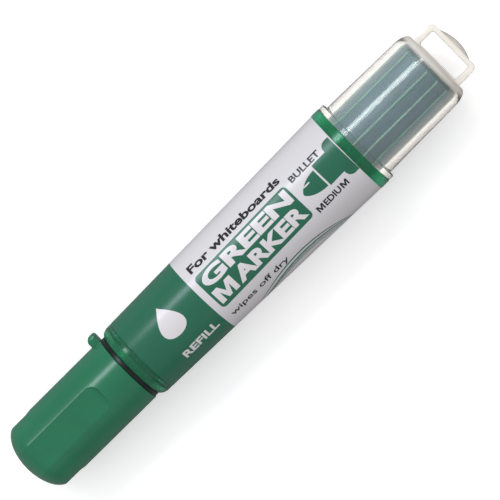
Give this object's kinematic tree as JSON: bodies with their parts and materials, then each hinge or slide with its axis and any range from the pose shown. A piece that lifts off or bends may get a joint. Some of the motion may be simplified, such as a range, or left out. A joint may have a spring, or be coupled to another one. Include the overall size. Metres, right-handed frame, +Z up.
{
  "type": "whiteboard marker",
  "caption": "Stubby refillable whiteboard marker: pull-off cap with finger flats and an anti-roll lug, clear tapered barrel with a comb feed, and an ink cartridge with a pull tab.",
  "frame": {"origin": "on the ground under the middle of the marker as it lies on its side: half its length along X, under its axis", "axes": "+X along the marker's axis from the cap to the pull tab, +Z up towards the front of the label, +Y towards the cap's lug"},
  "size_m": [0.122, 0.0202, 0.0202],
  "materials": {
    "cap_green": "moulded green polypropylene, satin gloss",
    "liner_white": "moulded natural polyethylene",
    "nib_fibre": "bonded fibre soaked with green ink",
    "holder_black": "moulded black polypropylene",
    "feed_dark": "moulded ABS wet with ink",
    "wick_fibre": "bundled fibre soaked with ink",
    "block_grey": "moulded polypropylene",
    "pipe_clear": "drawn plastic tube",
    "barrel_clear_green": "clear green moulded plastic, glossy",
    "label_print": "printed film in green and white",
    "shell_clear": "clear, slightly cream moulded polypropylene",
    "tank_blue_grey": "translucent blue-grey moulded plastic",
    "seal_rubber": "moulded nitrile rubber",
    "green_ink": "liquid ink",
    "ball_steel": "polished stainless steel"
  },
  "bodies": {
    "marker_body": {"barrel": "barrel_clear_green", "label_film": "label_print", "nib_holder": "holder_black", "nib": "nib_fibre", "ink_collector": "feed_dark", "relay_wick": "wick_fibre", "pipe_block": "block_grey", "ink_pipe": "pipe_clear", "air_pipe": "pipe_clear"},
    "cap": {"cap_shell": "cap_green", "inner_cap": "liner_white"},
    "cartridge": {"cartridge_shell": "shell_clear", "ink_tank": "tank_blue_grey", "tank_stopper": "liner_white", "neck_seal": "seal_rubber", "ink_charge": "green_ink"},
    "ball": {"seal_ball": "ball_steel"}
  },
  "joints": [
    {"name": "cap_pull", "type": "slide", "parent": "marker_body", "child": "cap", "axis": [-1, 0, 0], "range_m": [0, 0.032]},
    {"name": "cartridge_pull", "type": "slide", "parent": "marker_body", "child": "cartridge", "axis": [1, 0, 0], "range_m": [0, 0.048]},
    {"name": "ball_roll", "type": "slide", "parent": "cartridge", "child": "ball", "axis": [1, 0, 0], "range_m": [-0.03, 0.019]}
  ]
}
